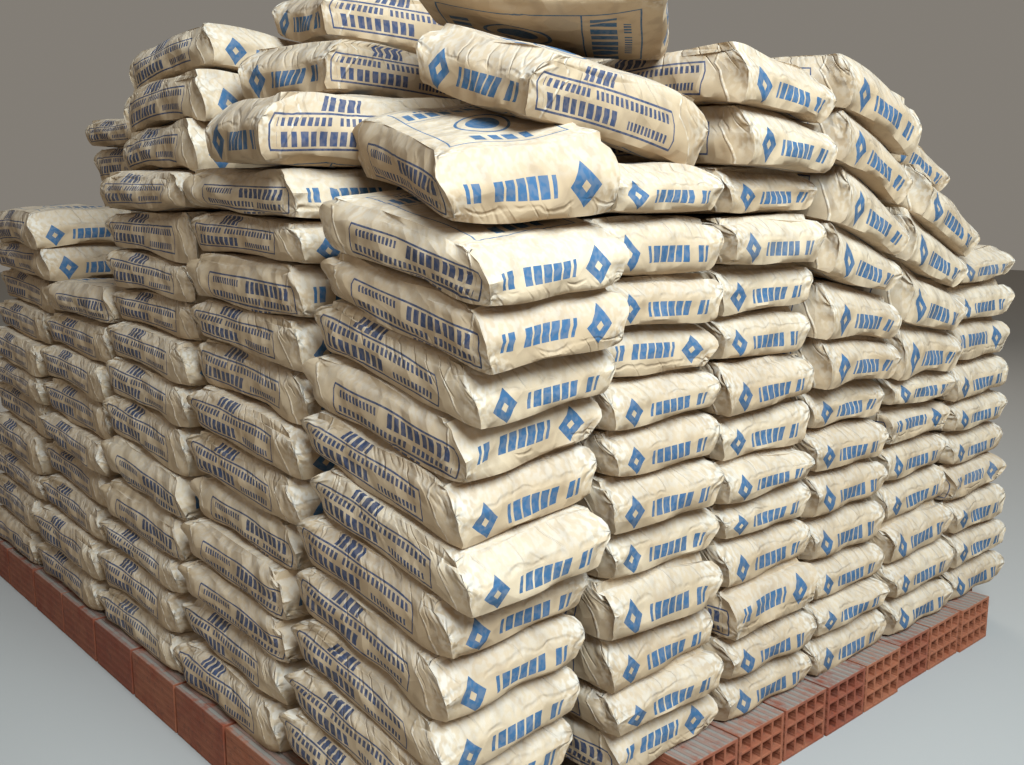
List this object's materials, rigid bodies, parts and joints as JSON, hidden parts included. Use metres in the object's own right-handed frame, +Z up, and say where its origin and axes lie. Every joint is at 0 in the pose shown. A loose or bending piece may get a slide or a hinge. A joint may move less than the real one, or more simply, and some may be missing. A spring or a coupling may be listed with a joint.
{
  "type": "stack of paper sacks on a brick base",
  "caption": "Block stack of filled paper sacks laid flat in columns on one course of hollow clay bricks, with a sagging corner and sacks lying askew on top.",
  "frame": {"origin": "middle of the underside of the brick base, on the floor", "axes": "+Z up; +X the way the short ends of the sacks on the right face look; -Y the way the long sides on the left face look"},
  "size_m": [3.12, 2.62, 2.1547],
  "materials": {
    "paper": "brown multi-wall sack paper, matt, creased, a little dusty",
    "clay": "fired red clay, matt, ribbed"
  },
  "bodies": {
    "root": {"brick_row_01": "clay", "brick_row_02": "clay", "brick_row_03": "clay", "brick_row_04": "clay", "brick_row_05": "clay", "brick_row_06": "clay", "brick_row_07": "clay", "brick_row_08": "clay", "brick_row_09": "clay", "brick_row_10": "clay", "brick_row_11": "clay", "corner_sack_01": "paper", "corner_sack_02": "paper", "corner_sack_03": "paper", "corner_sack_04": "paper", "corner_sack_05": "paper", "corner_sack_06": "paper", "corner_sack_07": "paper", "corner_sack_08": "paper", "corner_sack_09": "paper", "corner_sack_10": "paper", "corner_sack_11": "paper", "corner_sack_12": "paper", "end_sack": "paper", "long_sack": "paper", "row_3_sack_a": "paper", "row_3_sack_b": "paper", "row_4_sack_a": "paper", "row_4_sack_b": "paper", "row_4_sack_c": "paper", "row_4_sack_d": "paper", "row_4_sack_e": "paper", "row_4_sack_f": "paper", "row_5_sack_a": "paper", "row_5_sack_b": "paper", "row_5_sack_c": "paper", "row_5_sack_d": "paper", "row_5_sack_e": "paper", "sack_layer_01": "paper", "sack_layer_02": "paper", "sack_layer_03": "paper", "sack_layer_04": "paper", "sack_layer_05": "paper", "sack_layer_06": "paper", "sack_layer_07": "paper", "sack_layer_08": "paper", "sack_layer_09": "paper", "sack_layer_10": "paper", "sack_layer_11": "paper", "sack_layer_12": "paper", "sack_layer_13": "paper", "sack_layer_14": "paper", "sack_layer_15": "paper", "side_sack_a": "paper", "side_sack_b": "paper", "side_sack_c": "paper", "side_sack_d": "paper", "side_sack_e": "paper", "top_sack_a": "paper", "top_sack_b": "paper"}
  },
  "joints": []
}
